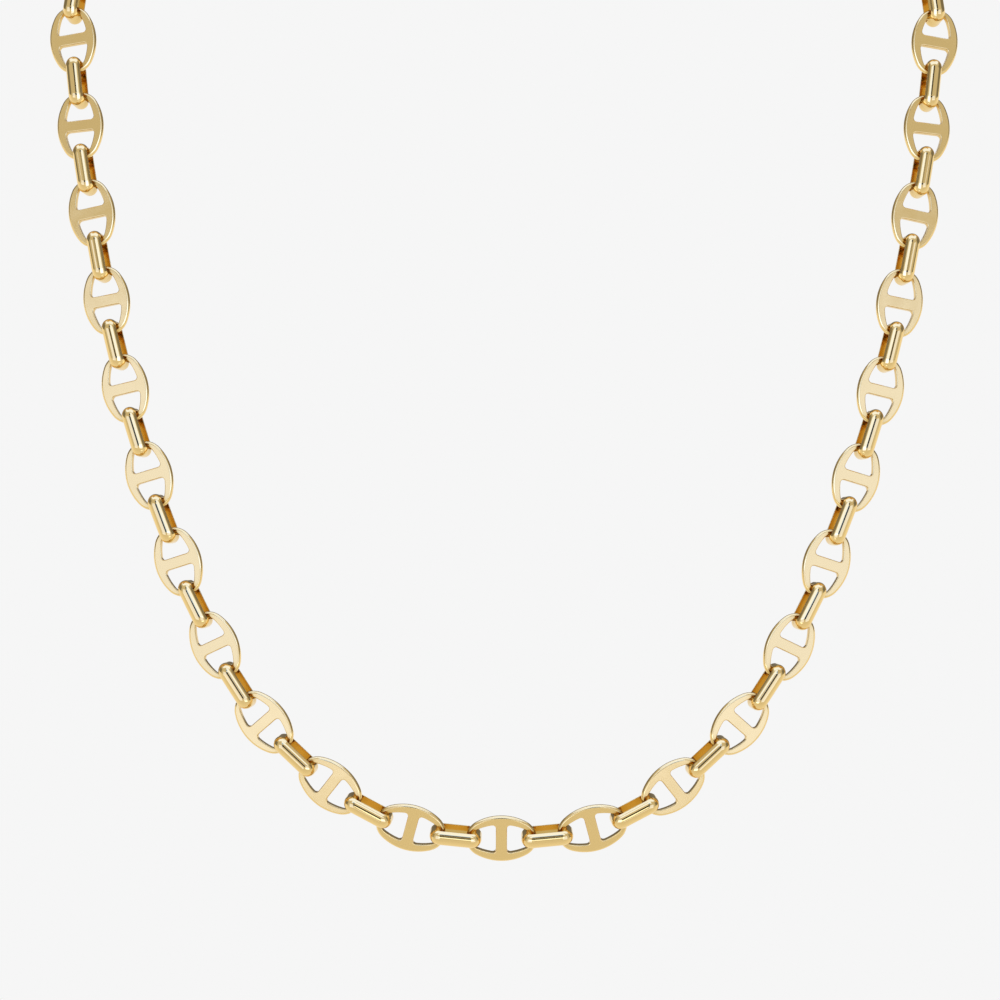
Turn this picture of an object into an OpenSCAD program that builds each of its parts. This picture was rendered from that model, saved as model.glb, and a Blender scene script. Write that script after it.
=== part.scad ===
// Mariner link chain: flat oval links with a cross bar, joined by half round connector links.
// The necklace is a closed loop in the form it has round a neck, worn with the clasp at the nape.
// X is the symmetry direction, +X to the wearer's left, -Y to the front and +Z up.
// The origin is where the clasp rests on the nape.

/* [Chain] */
// Distance from one mariner link to the next along the chain
pitch = 12.7; // [12.5:0.1:13]
// Gap between the rounded end of a hole and the connector link hooked into it
hook_gap = 0.18; // [0.14:0.01:0.24]

/* [Mariner link] */
// Length of a mariner link over all
link_length = 9.8; // [9.6:0.1:10]
// Width of a mariner link over all
link_width = 6.7; // [6.5:0.1:6.9]
// Thickness of a mariner link
link_thickness = 1; // [0.8:0.05:1.2]
// Radius of the long sides of the outline
side_radius = 7; // [6.8:0.1:7.6]
// Face width of the rim beside the cross bar
rim_side = 1.22; // [1.1:0.02:1.3]
// Face width of the rim at its two ends
rim_end = 0.68; // [0.64:0.01:0.76]
// Radius of the long sides of the hole
hole_side_radius = 8.2; // [7.8:0.1:8.8]
// Depth of the rounding of the outer edge, over the whole thickness
edge_depth = 0.3; // [0.2:0.02:0.36]
// Width of the cross bar
bar_width = 1.55; // [1.4:0.05:1.7]
// Radius of the fillets between the cross bar and the rim
bar_fillet = 0.45; // [0.3:0.05:0.6]

/* [Connector link] */
// Width of the half round wire, over its flat side
wire_width = 2.08; // [1.94:0.02:2.14]
// Thickness of the half round wire
wire_thickness = 0.84; // [0.78:0.02:0.9]
// Height of the loop over all, front to rear
loop_height = 4.8; // [4.6:0.1:5]
// Outer radius of the loop's four bends
loop_bend = 1.6; // [1.4:0.05:1.7]

/* [Clasp] */
// Length of the clasp's box along the chain
box_length = 4; // [3.6:0.1:4.2]
// Width of the clasp's box
box_width = 7.2; // [7:0.1:7.5]
// Thickness of the clasp's box
box_thickness = 2.6; // [2.2:0.1:3]
// Rounding of the box's long edges
box_round = 0.9; // [0.5:0.05:1.1]

/* [Drape] */
// Lean of the chest from upright, at the bottom of the chain
chest_lean = 12; // [8:1:16]
// Radius of the chest's profile, from the bottom of the chain to the shoulder
chest_radius = 440; // [400:5:500]
// Length up the chest, from the bottom of the chain to the shoulder
chest_length = 118; // [112:1:124]
// Radius of the shoulder's profile
shoulder_radius = 45; // [44:1:52]
// Outward lean of the links at the bottom of the chain
roll_bottom = 19; // [15:1:21]
// Outward lean of the links along the sides
roll_side = 13; // [10:1:16]
// Outward lean of the links at the nape
roll_nape = 40; // [30:1:45]

/* [Hidden] */
// Directions of the links from the bottom centre outwards, in degrees from level.
// Each row is one pitch: the mariner link, then the connector link that follows it.
HANG = [
    [0, 5.6],
    [15.1, 28],
    [38.5, 43.3],
    [49.3, 57.2],
    [65.2, 63.7],
    [73.2, 69],
    [74.6, 72.7],
    [78.2, 76.1],
    [81.2, 79.2],
    [80.5, 80.6],
    [87, 83.6],
];
// Mariner links on each side of the bottom one, and the number of it counted from the clasp
side_links = 17;
middle_link = side_links + 1;
// Direction at which the turn round the neck starts
neck_start = 84;

// Oval of a mariner link's hole, before the cross bar divides it
hole_length = link_length - 2 * rim_end;
hole_width = link_width - 2 * rim_side;
hole_end_radius = end_radius(hole_length / 2, hole_width / 2, hole_side_radius);

// A link and a connector turn about the centre of the hole's rounded end, which is their joint
link_span = hole_length - 2 * hole_end_radius;
loop_span = pitch - link_span;

// Distance from a joint to the flat side of the wire, whose two edges face the rounded end
wire_reach = sqrt(pow(hole_end_radius - hook_gap, 2) - pow(wire_width / 2, 2));
loop_length = loop_span - 2 * (wire_reach - wire_thickness);

// Radius of the outline's two ends, where the four arcs of an oval meet smoothly
function end_radius(half_length, half_width, side) =
    (pow(side, 2) - pow(half_length, 2) - pow(side - half_width, 2))
    / (2 * (side - half_length));

// Direction of row r at column c, from the table or from the even turn round the neck
function hang(r, c, turn) =
    r < len(HANG) ? HANG[r][c]
    : neck_start + (180 - neck_start) * pow((r + c / 2 - len(HANG)) / (middle_link - len(HANG)), turn);

function step(length, angle) = length * [cos(angle), sin(angle)];

// Joints of one side on the unrolled chest, from the bottom link's own to the clasp's
function joints(turn) =
    [for (i = 0, at = [link_span / 2, 0];
          i < 2 * middle_link;
          i = i + 1,
          at = at + (i % 2 == 1
              ? step(loop_span, hang((i - 1) / 2, 1, turn))
              : step(link_span, hang(i / 2, 0, turn))))
        at];

// Power of the turn round the neck at which the clasp spans the two last joints
function closing_turn(low, high, left) =
    left == 0 ? (low + high) / 2
    : let (mid = (low + high) / 2,
           row = joints(mid))
      row[len(row) - 1][0] > link_span / 2
          ? closing_turn(low, mid, left - 1)
          : closing_turn(mid, high, left - 1);

turn = closing_turn(0.4, 1.4, 24);
JOINTS = joints(turn);
nape = JOINTS[len(JOINTS) - 1][1];

// Slope of the body from upright at a length up its profile
shoulder_lean = chest_lean + chest_length / chest_radius * 180 / PI;
function lean(up) =
    up < chest_length ? chest_lean + up / chest_radius * 180 / PI
    : shoulder_lean + (up - chest_length) / shoulder_radius * 180 / PI;

// Place on the body's profile, as [back, up] from the bottom of the chain
function arc_place(radius, from, to) = radius * [cos(from) - cos(to), sin(to) - sin(from)];
function profile(up) =
    up < chest_length ? arc_place(chest_radius, chest_lean, lean(up))
    : arc_place(chest_radius, chest_lean, shoulder_lean)
      + arc_place(shoulder_radius, shoulder_lean, lean(up));

function unit(v) = v / norm(v);
function on_body(at) = [at[0], profile(at[1])[0], profile(at[1])[1]];

// Outward lean of a link with its middle at a place on the unrolled chest
function roll(at, angle) =
    at[1] < chest_length
        ? roll_bottom + (roll_side - roll_bottom) * sin(min(angle, 90))
        : roll_side + (roll_nape - roll_side) * (at[1] - chest_length) / (nape - chest_length);

// Frame of a link between two joints: its length along X, its front face to +Z
function frame(from, to) =
    let (mid = (from + to) / 2,
         a = on_body(from),
         b = on_body(to),
         along = unit(b - a),
         slope = lean(mid[1]),
         out = [0, -cos(slope), sin(slope)],
         face = unit(out - (out * along) * along),
         side = cross(face, along),
         r = roll(mid, atan2(to[1] - from[1], to[0] - from[0])),
         z = face * cos(r) - side * sin(r),
         y = cross(z, along),
         p = (a + b) / 2)
    [[along[0], y[0], z[0], p[0]],
     [along[1], y[1], z[1], p[1]],
     [along[2], y[2], z[2], p[2]],
     [0, 0, 0, 1]];

bottom_frame = frame([-link_span / 2, 0], [link_span / 2, 0]);
clasp_frame = frame([link_span / 2, nape], [-link_span / 2, nape]);

// The origin lies on the clasp's underside
seat = [for (i = [0:2]) clasp_frame[i][3] - clasp_frame[i][2] * box_thickness / 2];

// Smallest overlap of cut pieces, and the amount by which smooth arcs cross where they meet
small = 0.01;
crossing = 0.02;

// A size in whole steps of two microns, so that half of it is exact as well
function even(size) = round(size * 500) / 500;

function two_digits(i) = i < 10 ? str("0", i) : str(i);
function link_name(i) = str("mariner_link_", two_digits(i));

// Half section of a coin: flat faces, and one arc over the whole edge
module coin_section(radius) {
    edge = (pow(link_thickness / 2, 2) + pow(edge_depth, 2)) / (2 * edge_depth);
    intersection() {
        union() {
            translate([0, -link_thickness]) square([radius - edge, 2 * link_thickness]);
            translate([radius - edge, 0]) circle(r = edge, $fn = 64);
        }
        translate([0, -link_thickness / 2]) square([radius + small, link_thickness]);
    }
}

module coin(radius) {
    rotate_extrude($fn = 180) coin_section(radius);
}

// Whole oval of a mariner link: two large coins give its sides, two small coins its ends
module oval() {
    r = end_radius(link_length / 2, link_width / 2, side_radius) + crossing;
    end_x = link_length / 2 - r;
    side_y = side_radius - link_width / 2;
    meet_x = end_x + r * cos(atan2(side_y, end_x));
    intersection() {
        translate([0, -side_y, 0]) coin(side_radius);
        translate([0, side_y, 0]) coin(side_radius);
        union() {
            cube([2 * meet_x, link_width + 1, link_thickness + 1], center = true);
            for (s = [-1, 1])
                translate([s * end_x, 0, 0]) coin(r);
        }
    }
}

// Oval of the hole before the cross bar divides it
module hole_outline() {
    r = hole_end_radius;
    end_x = hole_length / 2 - r;
    side_y = hole_side_radius - hole_width / 2;
    meet = [end_x, 0] + step(r, atan2(side_y, end_x));
    intersection() {
        translate([0, -side_y]) circle(r = hole_side_radius, $fn = 128);
        translate([0, side_y]) circle(r = hole_side_radius, $fn = 128);
        square([2 * meet[0], hole_width + 1], center = true);
    }
    for (s = [-1, 1])
        intersection() {
            translate([s * end_x, 0]) circle(r = r, $fn = 96);
            translate([s * (meet[0] + r) - r, -r]) square([2 * r, 2 * r]);
        }
}

// The two openings that the cross bar leaves, with rounded corners beside the bar
module openings() {
    r = bar_fillet;
    side_y = hole_side_radius - hole_width / 2;
    x = bar_width / 2 + r - crossing;
    y = sqrt(pow(hole_side_radius - r + crossing, 2) - pow(x, 2)) - side_y;
    difference() {
        hole_outline();
        square([bar_width, hole_width + 1], center = true);
        for (a = [0, 1], b = [0, 1])
            mirror([a, 0]) mirror([0, b])
                difference() {
                    translate([bar_width / 2 - 0.1, y]) square([r + 0.1, r + 0.1]);
                    translate([x, y]) circle(r = r, $fn = 48);
                }
    }
}

module mariner_shape() {
    difference() {
        oval();
        linear_extrude(link_thickness + 1, center = true) openings();
    }
}

// Section of the half round wire: flat side on the Y axis, dome to +X
module wire_section() {
    r = (pow(wire_width / 2, 2) + pow(wire_thickness, 2)) / (2 * wire_thickness);
    intersection() {
        translate([wire_thickness - r, 0]) circle(r = r, $fn = 64);
        translate([0, -wire_width]) square([wire_thickness + small, 2 * wire_width]);
    }
}

// Loop of half round wire, its length along X and its height along Z
module connector_shape() {
    inner = loop_bend - wire_thickness;
    flat_x = even(loop_length / 2 - loop_bend);
    flat_z = even(loop_height / 2 - loop_bend);
    for (a = [0, 1])
        mirror([a, 0, 0]) mirror([0, 0, a]) {
            translate([-flat_x, 0, flat_z + inner])
                rotate([0, 90, 0]) linear_extrude(2 * flat_x) rotate(180) wire_section();
            translate([flat_x + inner, 0, -flat_z])
                linear_extrude(2 * flat_z) wire_section();
            for (b = [0, 1])
                mirror([0, 0, b]) translate([flat_x, 0, flat_z])
                    rotate([90, 0, 0]) rotate_extrude(angle = 90, $fn = 48)
                        translate([inner, 0]) wire_section();
        }
}

module rounded_rectangle(size, r) {
    square([size[0] - 2 * r, size[1]], center = true);
    square([size[0], size[1] - 2 * r], center = true);
    for (x = [-1, 1], y = [-1, 1])
        translate([x * (size[0] / 2 - r), y * (size[1] / 2 - r)]) circle(r = r, $fn = 48);
}

// Plain box clasp: the oval ring of a mariner link with a closed box across its middle
module clasp_shape() {
    difference() {
        oval();
        linear_extrude(link_thickness + 1, center = true) hole_outline();
    }
    intersection() {
        rotate([90, 0, 90]) linear_extrude(box_length, center = true)
            rounded_rectangle([box_width, box_thickness], box_round);
        linear_extrude(box_thickness + 1, center = true)
            rounded_rectangle([box_length, box_width], box_round);
    }
}

// Mariner link i, counted from the clasp, right side mirrored for the left
module mariner_link(i) {
    k = abs(i - middle_link);
    place = k == 0 ? bottom_frame : frame(JOINTS[2 * k - 1], JOINTS[2 * k]);
    color("gold") translate(-seat) mirror([i < middle_link ? 1 : 0, 0, 0])
        multmatrix(place) mariner_shape();
}

module connector_links() {
    color("goldenrod") translate(-seat)
        for (s = [0, 1], k = [0:side_links])
            mirror([s, 0, 0]) multmatrix(frame(JOINTS[2 * k], JOINTS[2 * k + 1])) connector_shape();
}

module clasp() {
    color("gold") translate(-seat) multmatrix(clasp_frame) clasp_shape();
}

for (i = [1:2 * side_links + 1])
    mariner_link(i);
connector_links();
clasp();
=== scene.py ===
import math
import bpy
import numpy as np
from mathutils import Matrix, Vector
from mathutils.geometry import delaunay_2d_cdt


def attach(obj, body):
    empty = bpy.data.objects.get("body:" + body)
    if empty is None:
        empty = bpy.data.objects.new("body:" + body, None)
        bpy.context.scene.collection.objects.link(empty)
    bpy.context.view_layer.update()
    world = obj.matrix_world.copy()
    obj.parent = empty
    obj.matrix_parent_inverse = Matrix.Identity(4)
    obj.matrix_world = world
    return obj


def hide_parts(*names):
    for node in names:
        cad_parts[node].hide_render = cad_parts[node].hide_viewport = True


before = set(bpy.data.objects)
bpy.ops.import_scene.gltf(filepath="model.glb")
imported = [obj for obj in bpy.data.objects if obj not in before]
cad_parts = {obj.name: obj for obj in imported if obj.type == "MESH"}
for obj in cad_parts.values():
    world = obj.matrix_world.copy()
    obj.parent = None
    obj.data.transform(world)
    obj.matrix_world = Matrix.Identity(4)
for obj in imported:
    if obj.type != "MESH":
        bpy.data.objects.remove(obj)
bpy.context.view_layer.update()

MM = 0.001

# Sizes in millimetres, the same as in the part's source
PITCH = 12.7
HOOK_GAP = 0.18
LINK_LENGTH, LINK_WIDTH, LINK_THICKNESS = 9.8, 6.7, 1.0
SIDE_RADIUS, RIM_SIDE, RIM_END, HOLE_SIDE_RADIUS = 7.0, 1.22, 0.68, 8.2
EDGE_DEPTH, BAR_WIDTH, BAR_FILLET = 0.3, 1.55, 0.45
WIRE_WIDTH, WIRE_THICKNESS, LOOP_HEIGHT, LOOP_BEND = 2.08, 0.84, 4.8, 1.6
BOX_LENGTH, BOX_WIDTH, BOX_THICKNESS, BOX_ROUND = 4.0, 7.2, 2.6, 0.9
CHEST_LEAN, CHEST_RADIUS, CHEST_LENGTH, SHOULDER_RADIUS = 12.0, 440.0, 118.0, 45.0
ROLL_BOTTOM, ROLL_SIDE, ROLL_NAPE = 19.0, 13.0, 40.0
SIDE_LINKS, NECK_START = 17, 84.0
# Radii of softened edges: of the links' rims and openings, of the wire and of the box
RIM_SOFT, HOLE_SOFT, WIRE_SOFT, BOX_SOFT = 0.12, 0.14, 0.07, BOX_ROUND * 0.9

# Directions of each pitch from the bottom outwards, in degrees from level: mariner link, connector link
HANG = [(0, 5.6), (15.1, 28), (38.5, 43.3), (49.3, 57.2), (65.2, 63.7), (73.2, 69),
        (74.6, 72.7), (78.2, 76.1), (81.2, 79.2), (80.5, 80.6), (87, 83.6)]


def end_radius(half_length, half_width, side):
    """Radius of the ends of an oval whose long sides have the radius side."""
    return (side ** 2 - half_length ** 2 - (side - half_width) ** 2) / (2 * (side - half_length))


HOLE_LENGTH, HOLE_WIDTH = LINK_LENGTH - 2 * RIM_END, LINK_WIDTH - 2 * RIM_SIDE
HOLE_END_RADIUS = end_radius(HOLE_LENGTH / 2, HOLE_WIDTH / 2, HOLE_SIDE_RADIUS)
LINK_SPAN = HOLE_LENGTH - 2 * HOLE_END_RADIUS
LOOP_SPAN = PITCH - LINK_SPAN
WIRE_REACH = math.sqrt((HOLE_END_RADIUS - HOOK_GAP) ** 2 - (WIRE_WIDTH / 2) ** 2)
LOOP_LENGTH = LOOP_SPAN - 2 * (WIRE_REACH - WIRE_THICKNESS)
ROWS = SIDE_LINKS + 1


def hang(row, column, turn):
    """Direction of the link in this row: from the table, and past its end a smooth turn to the nape."""
    if row < len(HANG):
        return HANG[row][column]
    along = (row + column / 2 - len(HANG)) / (ROWS - len(HANG))
    return NECK_START + (180 - NECK_START) * along ** turn


def joints(turn):
    """Points at which the links hook together, from the bottom link to the nape, laid out flat."""
    at, out = np.array([LINK_SPAN / 2, 0.0]), []
    for i in range(2 * ROWS):
        out.append(at)
        wire = i % 2 == 0
        angle = math.radians(hang(i // 2, 1, turn) if wire else hang((i + 1) // 2, 0, turn))
        at = at + (LOOP_SPAN if wire else LINK_SPAN) * np.array([math.cos(angle), math.sin(angle)])
    return out


def closing_turn():
    """Exponent of the turn at which the last joint lies beside the clasp, found by halving."""
    low, high = 0.4, 1.4
    for _ in range(24):
        mid = (low + high) / 2
        if joints(mid)[-1][0] > LINK_SPAN / 2:
            high = mid
        else:
            low = mid
    return (low + high) / 2


JOINTS = joints(closing_turn())
NAPE = JOINTS[-1][1]
SHOULDER_LEAN = CHEST_LEAN + math.degrees(CHEST_LENGTH / CHEST_RADIUS)


def lean(up):
    """Lean of the body in degrees at this length up the chest and over the shoulder."""
    if up < CHEST_LENGTH:
        return CHEST_LEAN + math.degrees(up / CHEST_RADIUS)
    return SHOULDER_LEAN + math.degrees((up - CHEST_LENGTH) / SHOULDER_RADIUS)


def arc_place(radius, start, end):
    """Way back and up along an arc of this radius between two leans."""
    a, b = math.radians(start), math.radians(end)
    return radius * np.array([math.cos(a) - math.cos(b), math.sin(b) - math.sin(a)])


def on_body(at):
    """Place on the body of a point of the flat layout."""
    up = at[1]
    if up < CHEST_LENGTH:
        back, rise = arc_place(CHEST_RADIUS, CHEST_LEAN, lean(up))
    else:
        back, rise = (arc_place(CHEST_RADIUS, CHEST_LEAN, SHOULDER_LEAN)
                      + arc_place(SHOULDER_RADIUS, SHOULDER_LEAN, lean(up)))
    return np.array([at[0], back, rise])


def roll(at, angle):
    """Outward lean of a link about its own length."""
    if at[1] < CHEST_LENGTH:
        return ROLL_BOTTOM + (ROLL_SIDE - ROLL_BOTTOM) * math.sin(math.radians(min(angle, 90)))
    return ROLL_SIDE + (ROLL_NAPE - ROLL_SIDE) * (at[1] - CHEST_LENGTH) / (NAPE - CHEST_LENGTH)


def place(start, end):
    """Axes and middle of a link between two joints, in millimetres."""
    start, end = np.array(start), np.array(end)
    mid, a, b = (start + end) / 2, on_body(start), on_body(end)
    along = (b - a) / np.linalg.norm(b - a)
    slope = math.radians(lean(mid[1]))
    out = np.array([0, -math.cos(slope), math.sin(slope)])
    face = out - out.dot(along) * along
    face /= np.linalg.norm(face)
    side = np.cross(face, along)
    turn = end - start
    r = math.radians(roll(mid, math.degrees(math.atan2(turn[1], turn[0]))))
    z = face * math.cos(r) - side * math.sin(r)
    y = np.cross(z, along)
    return np.stack([along, y, z], 1), (a + b) / 2


def mirrored(spot):
    """The same link on the wearer's right, turned so that it stays a plain turn and shift."""
    axes, at = spot
    flip = np.array([-1.0, 1.0, 1.0])
    axes = axes * flip[:, None]
    axes[:, 1] *= -1
    return axes, at * flip


BOTTOM = place((-LINK_SPAN / 2, 0), (LINK_SPAN / 2, 0))
CLASP = place((LINK_SPAN / 2, NAPE), (-LINK_SPAN / 2, NAPE))
SEAT = CLASP[1] - CLASP[0][:, 2] * BOX_THICKNESS / 2


class Shape:
    """Points, their normals and faces of one piece, in millimetres."""

    def __init__(self):
        self.points, self.normals, self.faces = [], [], []

    def ring(self, points, normals):
        """Adds points and gives back their numbers."""
        first = len(self.points)
        self.points += [tuple(p) for p in points]
        self.normals += [tuple(n) for n in normals]
        return list(range(first, first + len(points)))

    def strip(self, one, two):
        """Joins two closed rings of points with faces."""
        n = len(one)
        for i in range(n):
            j = (i + 1) % n
            self.faces.append((one[i], two[i], two[j], one[j]))

    def placed(self, spots, name, slot, nodes, material):
        """Makes one piece of the scene with a copy of the shape at each spot."""
        points, normals = np.array(self.points), np.array(self.normals)
        every_p, every_n, every_f = [], [], []
        for axes, at in spots:
            first = len(every_p) * len(points)
            every_p.append(points @ axes.T + (at - SEAT))
            every_n.append(normals @ axes.T)
            every_f += [tuple(first + i for i in f) for f in self.faces]
        mesh = bpy.data.meshes.new(name)
        mesh.from_pydata((np.concatenate(every_p) * MM).tolist(), [], every_f)
        mesh.polygons.foreach_set("use_smooth", [True] * len(mesh.polygons))
        mesh.normals_split_custom_set_from_vertices(np.concatenate(every_n).tolist())
        mesh.materials.append(material)
        piece = bpy.data.objects.new(name, mesh)
        bpy.context.collection.objects.link(piece)
        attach(piece, "root")
        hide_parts(*nodes)


def arc(x, y, radius, start, end, steps, facing):
    """Points and normals of an arc, without its last point; facing is 1 outwards or -1 inwards."""
    a = np.radians(start + (end - start) * np.arange(steps) / steps)
    c = np.stack([np.cos(a), np.sin(a)], 1)
    return np.array([x, y]) + radius * c, facing * c


def joined(*arcs):
    """One loop of several arcs, each given by points and normals."""
    return np.concatenate([a[0] for a in arcs]), np.concatenate([a[1] for a in arcs])


def oval_loop(length, width, side_radius, end_steps, side_steps, facing):
    """Oval of four arcs, its length along X."""
    r = end_radius(length / 2, width / 2, side_radius)
    x, y = length / 2 - r, side_radius - width / 2
    half = math.degrees(math.atan2(y, x))
    return joined(arc(x, 0, r, -half, half, end_steps, facing),
                  arc(0, -y, side_radius, half, 180 - half, side_steps, facing),
                  arc(-x, 0, r, 180 - half, 180 + half, end_steps, facing),
                  arc(0, y, side_radius, 180 + half, 360 - half, side_steps, facing))


def link_outline():
    """Outer edge of a mariner link and of the clasp's ring."""
    return oval_loop(LINK_LENGTH, LINK_WIDTH, SIDE_RADIUS, 26, 22, 1)


def window_loop():
    """Opening on the +X side of the cross bar; its normals point into the opening."""
    r, x = HOLE_END_RADIUS, HOLE_LENGTH / 2 - HOLE_END_RADIUS
    y = HOLE_SIDE_RADIUS - HOLE_WIDTH / 2
    half = math.degrees(math.atan2(y, x))
    fx = BAR_WIDTH / 2 + BAR_FILLET
    fy = math.sqrt((HOLE_SIDE_RADIUS - BAR_FILLET) ** 2 - fx ** 2) - y
    meet = math.degrees(math.atan2(fy + y, fx))
    bar = np.stack([np.full(4, BAR_WIDTH / 2), fy - 2 * fy * np.arange(4) / 4], 1)
    return joined(arc(x, 0, r, -half, half, 24, -1),
                  arc(0, -y, HOLE_SIDE_RADIUS, half, meet, 8, -1),
                  arc(fx, fy, BAR_FILLET, meet, 180, 5, -1),
                  (bar, np.tile([1.0, 0.0], (4, 1))),
                  arc(fx, -fy, BAR_FILLET, 180, 360 - meet, 5, -1),
                  arc(0, y, HOLE_SIDE_RADIUS, 360 - meet, 360 - half, 8, -1))


def edge_profile(soft, steps):
    """Inset, height and slope of the outer edge: one large arc, eased into the flat faces."""
    half = LINK_THICKNESS / 2
    big = (half ** 2 + EDGE_DEPTH ** 2) / (2 * EDGE_DEPTH)
    inset = big - math.sqrt((big - soft) ** 2 - (half - soft) ** 2)
    turn = math.degrees(math.atan2(half - soft, big - inset))
    out = []
    for a in np.linspace(90, turn, 4)[:-1]:
        r = math.radians(a)
        out.append((inset - soft * math.cos(r), half - soft + soft * math.sin(r), a))
    for a in np.linspace(turn, -turn, steps):
        r = math.radians(a)
        out.append((big - big * math.cos(r), big * math.sin(r), a))
    for i, z, a in out[2::-1]:
        out.append((i, -z, -a))
    return out


def wall_profile(soft):
    """Inset, height and slope of an opening's upright wall, eased into the flat faces."""
    upper = []
    for a in (90, 60, 30, 0):
        r = math.radians(a)
        upper.append((soft - soft * math.cos(r), LINK_THICKNESS / 2 - soft + soft * math.sin(r), a))
    return upper + [(i, -z, -a) for i, z, a in upper[::-1]]


def inside(point, loop):
    """Whether a point lies inside a closed loop, by counting crossings."""
    x, y = point
    hit = False
    for (ax, ay), (bx, by) in zip(loop, np.roll(loop, -1, 0)):
        if (ay > y) != (by > y) and x < (bx - ax) * (y - ay) / (by - ay) + ax:
            hit = not hit
    return hit


def plate(shape, outer, holes):
    """Adds a flat plate with a rounded outer edge and nearly sharp openings to the shape."""
    rims = []
    loops = [(outer, edge_profile(RIM_SOFT, 9))] + [(hole, wall_profile(HOLE_SOFT)) for hole in holes]
    for (points, normals), profile in loops:
        rings = []
        for inset, z, slope in profile:
            c, s = math.cos(math.radians(slope)), math.sin(math.radians(slope))
            rings.append(shape.ring(np.column_stack([points - inset * normals, np.full(len(points), z)]),
                                    np.column_stack([normals * c, np.full(len(points), s)])))
        for one, two in zip(rings, rings[1:]):
            if rims:
                shape.strip(two, one)
            else:
                shape.strip(one, two)
        rims.append((rings[0], rings[-1]))
    flat = [np.array([shape.points[i][:2] for i in r[0]]) for r in rims]
    every = np.concatenate(flat)
    edges, first = [], 0
    for loop in flat:
        n = len(loop)
        edges += [(first + i, first + (i + 1) % n) for i in range(n)]
        first += n
    _, _, triangles, kept, _, _ = delaunay_2d_cdt([Vector(p) for p in every], edges, [], 0, 1e-7)
    top = np.concatenate([r[0] for r in rims])
    under = np.concatenate([r[1] for r in rims])
    for t in triangles:
        t = [kept[i][0] for i in t]
        middle = every[t].mean(0)
        if not inside(middle, flat[0]) or any(inside(middle, h) for h in flat[1:]):
            continue
        (ax, ay), (bx, by), (cx, cy) = every[t]
        if (bx - ax) * (cy - ay) - (by - ay) * (cx - ax) < 0:
            t = t[::-1]
        shape.faces.append(tuple(int(top[i]) for i in t))
        shape.faces.append(tuple(int(under[i]) for i in t[::-1]))


def mariner_link():
    """Oval link with a cross bar, its length along X."""
    shape = Shape()
    points, normals = window_loop()
    other = np.array([-1.0, -1.0])
    plate(shape, link_outline(), [(points, normals), (points * other, normals * other)])
    return shape


def wire_profile(soft):
    """Outward place, sideways place and slope round the half round wire, from the flat side's edge."""
    r = ((WIRE_WIDTH / 2) ** 2 + WIRE_THICKNESS ** 2) / (2 * WIRE_THICKNESS)
    c = WIRE_THICKNESS - r
    y = math.sqrt((r - soft) ** 2 - (soft - c) ** 2)
    turn = math.degrees(math.atan2(y, soft - c))
    edge = [(soft + soft * math.cos(math.radians(a)), y + soft * math.sin(math.radians(a)), a)
            for a in np.linspace(180, turn, 5)[:-1]]
    dome = [(c + r * math.cos(math.radians(a)), r * math.sin(math.radians(a)), a)
            for a in np.linspace(turn, -turn, 15)]
    return edge + dome + [(o, -s, -a) for o, s, a in edge[::-1]]


def connector():
    """Loop of half round wire, its length along X and its height along Z."""
    inner = LOOP_BEND - WIRE_THICKNESS
    x, z = LOOP_LENGTH / 2 - LOOP_BEND, LOOP_HEIGHT / 2 - LOOP_BEND
    path = []
    for sx, sz, start in ((1, 1, 0), (-1, 1, 90), (-1, -1, 180), (1, -1, 270)):
        for a in np.linspace(start, start + 90, 11):
            path.append((sx * x, sz * z, math.radians(a)))
    shape = Shape()
    profile = wire_profile(WIRE_SOFT)
    rings = []
    for px, pz, a in path:
        points, normals = [], []
        for o, s, slope in profile:
            c = math.cos(math.radians(slope))
            points.append((px + (inner + o) * math.cos(a), s, pz + (inner + o) * math.sin(a)))
            normals.append((c * math.cos(a), math.sin(math.radians(slope)), c * math.sin(a)))
        rings.append(shape.ring(points, normals))
    for one, two in zip(rings, rings[1:] + rings[:1]):
        shape.strip(one, two)
    return shape


def clasp():
    """Oval ring with a closed box across its middle."""
    ring = Shape()
    plate(ring, link_outline(), [oval_loop(HOLE_LENGTH, HOLE_WIDTH, HOLE_SIDE_RADIUS, 24, 16, -1)])
    size = np.array([BOX_LENGTH, BOX_WIDTH, BOX_THICKNESS]) / 2
    grid = np.linspace(-1, 1, 17)
    for axis in range(3):
        u, v = (axis + 1) % 3, (axis + 2) % 3
        for side in (-1, 1):
            rows = []
            for a in grid:
                points, normals = [], []
                for b in grid:
                    p = np.zeros(3)
                    p[axis], p[u], p[v] = side * size[axis], a * size[u], b * size[v]
                    core = np.clip(p, BOX_SOFT - size, size - BOX_SOFT)
                    out = p - core
                    out = out / np.linalg.norm(out)
                    points.append(core + BOX_SOFT * out)
                    normals.append(out)
                rows.append(ring.ring(points, normals))
            for one, two in zip(rows, rows[1:]):
                for i in range(len(grid) - 1):
                    quad = (one[i], two[i], two[i + 1], one[i + 1])
                    ring.faces.append(quad if side == 1 else quad[::-1])
    return ring


def node(tree, kind, values=(), **settings):
    """Adds a shader node with these values on its sockets and these settings."""
    made = tree.nodes.new(kind)
    for name, value in settings.items():
        setattr(made, name, value)
    for name, value in values:
        made.inputs[name].default_value = value
    return made


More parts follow.
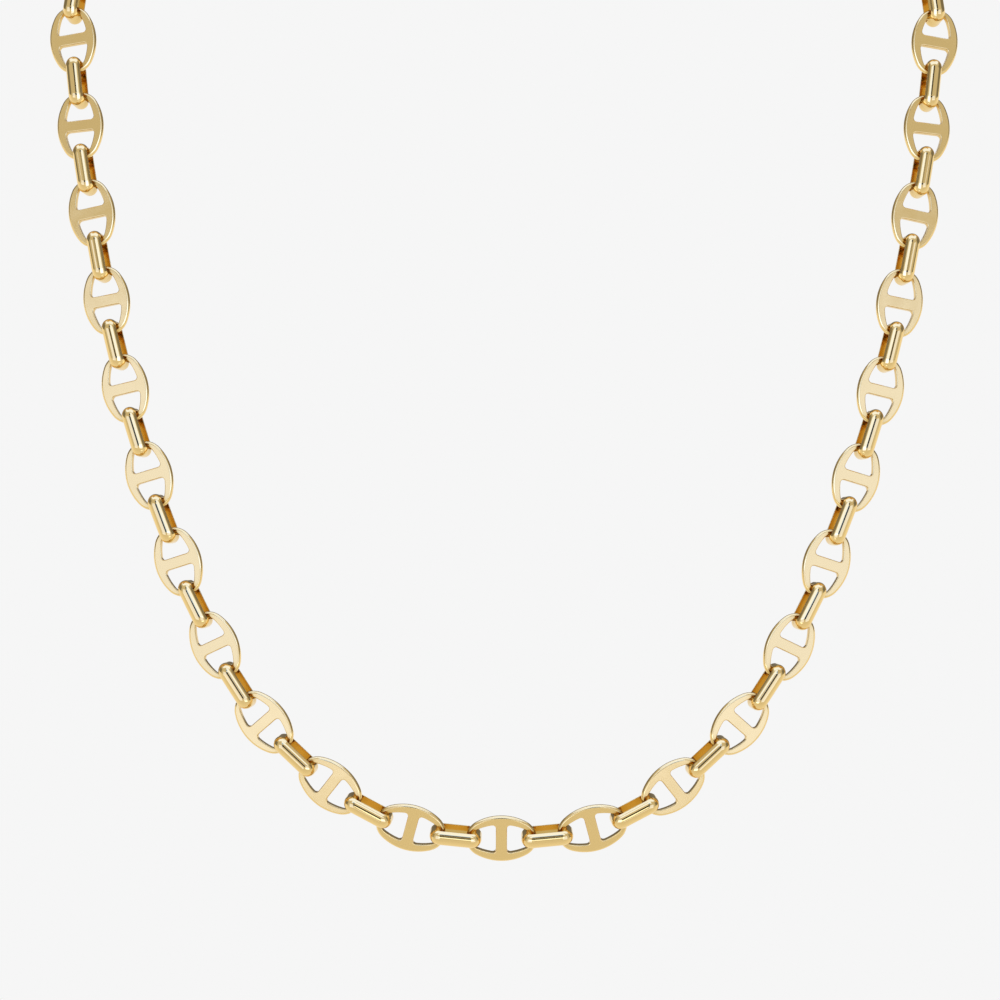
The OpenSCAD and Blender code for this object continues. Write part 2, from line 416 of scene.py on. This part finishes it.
def gold(name, rough, wave, fine):
    """Polished plating: soft waves left by polishing, fine scratches and an uneven gloss.

    Its colour is darker in the hollows and between the links: painted shade, where little of the room
    reaches."""
    material = bpy.data.materials.new(name)
    material.use_nodes = True
    tree = material.node_tree
    shader = tree.nodes["Principled BSDF"]
    shader.inputs["Metallic"].default_value = 1.0
    where = node(tree, "ShaderNodeTexCoord")
    soft = node(tree, "ShaderNodeTexNoise", [("Scale", 380.0), ("Detail", 2.0), ("Roughness", 0.5)])
    grain = node(tree, "ShaderNodeTexNoise", [("Scale", 9000.0), ("Detail", 3.0), ("Roughness", 0.6)])
    gloss = node(tree, "ShaderNodeMapRange", [("From Min", 0.35), ("From Max", 0.7),
                                              ("To Min", rough * 0.8), ("To Max", rough * 1.3)])
    bump = node(tree, "ShaderNodeBump", [("Strength", wave), ("Distance", 0.0001)])
    scratch = node(tree, "ShaderNodeBump", [("Strength", fine), ("Distance", 0.00001)])
    for texture in (soft, grain):
        tree.links.new(where.outputs["Object"], texture.inputs["Vector"])
    tree.links.new(soft.outputs["Fac"], gloss.inputs["Value"])
    tree.links.new(gloss.outputs["Result"], shader.inputs["Roughness"])
    tree.links.new(soft.outputs["Fac"], bump.inputs["Height"])
    tree.links.new(grain.outputs["Fac"], scratch.inputs["Height"])
    tree.links.new(bump.outputs["Normal"], scratch.inputs["Normal"])
    tree.links.new(scratch.outputs["Normal"], shader.inputs["Normal"])
    # Painted shade: ambient occlusion darkens the colour in the hollows and between the links
    open_sky = node(tree, "ShaderNodeAmbientOcclusion", [("Distance", 0.006)], samples=8)
    depth = node(tree, "ShaderNodeMapRange", [("From Min", 0.45), ("From Max", 0.85)])
    shade_tint = node(tree, "ShaderNodeMix", data_type="RGBA")
    shade_tint.inputs[6].default_value, shade_tint.inputs[7].default_value = (*HOLLOW_SHADE, 1), (*GOLD, 1)
    tree.links.new(open_sky.outputs["AO"], depth.inputs["Value"])
    tree.links.new(depth.outputs["Result"], shade_tint.inputs[0])
    tree.links.new(shade_tint.outputs[2], shader.inputs["Base Color"])
    return material


# Colour of the plating in the open, and the painted shade it darkens to in its hollows and between the
# links
GOLD, HOLLOW_SHADE = (0.96, 0.69, 0.28), (0.7, 0.46, 0.12)
link_gold = gold("link_gold", 0.16, 0.06, 0.15)
wire_gold = gold("wire_gold", 0.08, 0.04, 0.08)

link_sides = [place(JOINTS[2 * k - 1], JOINTS[2 * k]) for k in range(1, ROWS)]
link_spots = [BOTTOM] + [s for spot in link_sides for s in (spot, mirrored(spot))]
wire_sides = [place(JOINTS[2 * k], JOINTS[2 * k + 1]) for k in range(ROWS)]
wire_spots = [s for spot in wire_sides for s in (spot, mirrored(spot))]
link_nodes = [f"mariner_link_{i:02d}" for i in range(1, 2 * ROWS)]
mariner_link().placed(link_spots, "mariner_links", "link_metal", link_nodes, link_gold)
connector().placed(wire_spots, "connector_loops", "connector_metal", ["connector_links"], wire_gold)
clasp().placed([CLASP], "box_clasp", "clasp_metal", ["clasp"], link_gold)

# Brightness of the room, of its walls behind, of its dark opening and of the floor in front and behind
ROOM, BACK_WALL, DARK, FRONT_FLOOR, REAR_FLOOR = 0.6, 0.2, 0.03, 0.72, 0.9216
# Dark opening: tangent of its half width, and the sines of its lowest and highest directions
DARK_SIDE, DARK_LOW, DARK_HIGH = 0.22, 0.22, 0.86
# Colours of the wide panels, beside the camera and overhead
SOFT, CRISP = (0.28, 0.42, 1.0), (0.24, 0.4, 1.0)
# Height of the floor and half its width, in metres
FLOOR_AT, FLOOR_REACH = -0.6, 30.0
# Camera: pixels a millimetre at the chain, the photograph's middle above and left of the bottom link in
# pixels, its roll in degrees, and the width of the sensor in millimetres
PIXELS, MIDDLE_UP, MIDDLE_LEFT, CAMERA_ROLL, SENSOR = 7.2207, 338.2, 2.5, 0.18, 36

# Camera a metre away, square to the chest at the bottom link, as in the photograph
angle = math.radians(CHEST_LEAN)
look = Vector((0, math.cos(angle), -math.sin(angle)))
upward = Vector((0, math.sin(angle), math.cos(angle)))
bottom = Vector((BOTTOM[1] - SEAT) * MM)
target = bottom + upward * (MIDDLE_UP / PIXELS * MM) - Vector((MIDDLE_LEFT / PIXELS * MM, 0, 0))
data = bpy.data.cameras.new("camera")
data.lens, data.sensor_width = SENSOR * PIXELS, SENSOR
camera = bpy.data.objects.new("camera", data)
bpy.context.collection.objects.link(camera)
camera.rotation_mode = "QUATERNION"
camera.location = target - look
level = look.to_track_quat("-Z", "Y")
camera.rotation_quaternion = level @ Matrix.Rotation(math.radians(CAMERA_ROLL), 3, "Z").to_quaternion()
data.clip_start, data.clip_end = 0.01, 100
bpy.context.scene.camera = camera

# Floor and light
bpy.context.scene.view_settings.view_transform = "Standard"
floor_mesh = bpy.data.meshes.new("floor")
floor_mesh.from_pydata([(x * FLOOR_REACH, y * FLOOR_REACH, FLOOR_AT)
                        for x, y in ((-1, -1), (1, -1), (1, 1), (-1, 1))], [], [(0, 1, 2, 3)])
floor = bpy.data.objects.new("floor", floor_mesh)
bpy.context.collection.objects.link(floor)


def between(tree, value, low, high):
    """Smooth step of a value from 0 at low to 1 at high."""
    step = node(tree, "ShaderNodeMapRange", [("From Min", low), ("From Max", high)],
                interpolation_type="SMOOTHSTEP")
    tree.links.new(value, step.inputs["Value"])
    return step.outputs["Result"]


def combined(tree, operation, one, two):
    """Result of a calculation with two values, each a socket or a number."""
    made = node(tree, "ShaderNodeMath", operation=operation)
    for socket, value in zip(made.inputs, (one, two)):
        if isinstance(value, float):
            socket.default_value = value
        else:
            tree.links.new(value, socket)
    return made.outputs["Value"]


# Floor that glows instead of being lit: painted light, brightest behind the chain, with painted shade a
# little darker in front of it, and as dark as the room far in front
floor_glow = bpy.data.materials.new("floor_glow")
floor_glow.use_nodes = True
tree = floor_glow.node_tree
tree.nodes.remove(tree.nodes["Principled BSDF"])
glow = node(tree, "ShaderNodeEmission", [("Color", (1, 1, 1, 1))])
where = node(tree, "ShaderNodeTexCoord")
parts = node(tree, "ShaderNodeSeparateXYZ")
tree.links.new(where.outputs["Object"], parts.inputs["Vector"])
near = between(tree, parts.outputs["Y"], -6.5, -3.5)
rear = between(tree, parts.outputs["Y"], -1.0, 0.6)
steps = combined(tree, "ADD", combined(tree, "MULTIPLY", near, FRONT_FLOOR - ROOM),
                 combined(tree, "MULTIPLY", rear, REAR_FLOOR - FRONT_FLOOR))
tree.links.new(combined(tree, "ADD", steps, ROOM), glow.inputs["Strength"])
tree.links.new(glow.outputs["Emission"], tree.nodes["Material Output"].inputs["Surface"])
floor_mesh.materials.append(floor_glow)

# Room by direction: grey walls, darker low behind the chain, and a dark opening above the camera
world = bpy.data.worlds.new("studio")
bpy.context.scene.world = world
world.use_nodes = True
tree = world.node_tree
where = node(tree, "ShaderNodeTexCoord")
parts = node(tree, "ShaderNodeSeparateXYZ")
tree.links.new(where.outputs["Generated"], parts.inputs["Vector"])
aside = combined(tree, "ABSOLUTE", parts.outputs["X"], 0.0)
front = combined(tree, "MULTIPLY", parts.outputs["Y"], -1.0)
across = combined(tree, "DIVIDE", aside, combined(tree, "MAXIMUM", front, 0.01))
dark = combined(tree, "MULTIPLY", between(tree, across, DARK_SIDE + 0.08, DARK_SIDE),
                combined(tree, "MULTIPLY", between(tree, parts.outputs["Z"], DARK_LOW, DARK_LOW + 0.06),
                         between(tree, parts.outputs["Z"], DARK_HIGH + 0.06, DARK_HIGH)))
behind = combined(tree, "MULTIPLY", between(tree, parts.outputs["Y"], -0.3, -0.05),
                  between(tree, parts.outputs["Z"], 0.7, 0.5))
walls = combined(tree, "SUBTRACT", ROOM, combined(tree, "MULTIPLY", behind, ROOM - BACK_WALL))
opening = combined(tree, "MULTIPLY", dark, 1.0 - DARK / ROOM)
room = combined(tree, "MULTIPLY", walls, combined(tree, "SUBTRACT", 1.0, opening))
tree.nodes["Background"].inputs["Color"].default_value = (1, 1, 1, 1)
tree.links.new(room, tree.nodes["Background"].inputs["Strength"])


def panel(name, at, facing, width, height, colour, strength):
    """Soft light panel of this brightness, which only the metal sees."""
    light = bpy.data.lights.new(name, "AREA")
    light.shape, light.size, light.size_y = "RECTANGLE", width, height
    light.color, light.energy = colour, strength * width * height * math.pi
    made = bpy.data.objects.new(name, light)
    made.rotation_mode = "QUATERNION"
    made.location = at
    made.rotation_quaternion = Vector(facing).to_track_quat("-Z", "Y")
    made.visible_camera = False
    bpy.context.collection.objects.link(made)


def toward(azimuth, elevation):
    """Direction from the chain; azimuth 0 is the camera's side, and +X is 90."""
    a, e = math.radians(azimuth), math.radians(elevation)
    return Vector((math.sin(a) * math.cos(e), -math.cos(a) * math.cos(e), math.sin(e)))


def far_panel(name, azimuth, elevation, width, height, colour, strength):
    """Panel two metres from the middle of the chain, which it faces."""
    out = toward(azimuth, elevation)
    middle = bottom + Vector((0, 0.03, 0.05))
    panel(name, middle + out * 2, -out, width, height, colour, strength)


for side in (-1, 1):
    far_panel(f"side_panel_{side}", side * 33, 1, 1.6, 2.0, SOFT, 1.2)
far_panel("top_panel", 180, 72, 3.0, 2.0, CRISP, 1.7)
panel("middle_panel", (0, -0.112, 0.0175), (0, 1, 0), 0.084, 0.205, CRISP, 1.8)
far_panel("front_panel", 0, 38, 1.0, 0.4, (1, 1, 1), 0.35)
panel("low_strip", (0, -0.112, -0.125), (0, 1, 0), 0.044, 0.01, (0.6, 0.75, 1), 1.5)
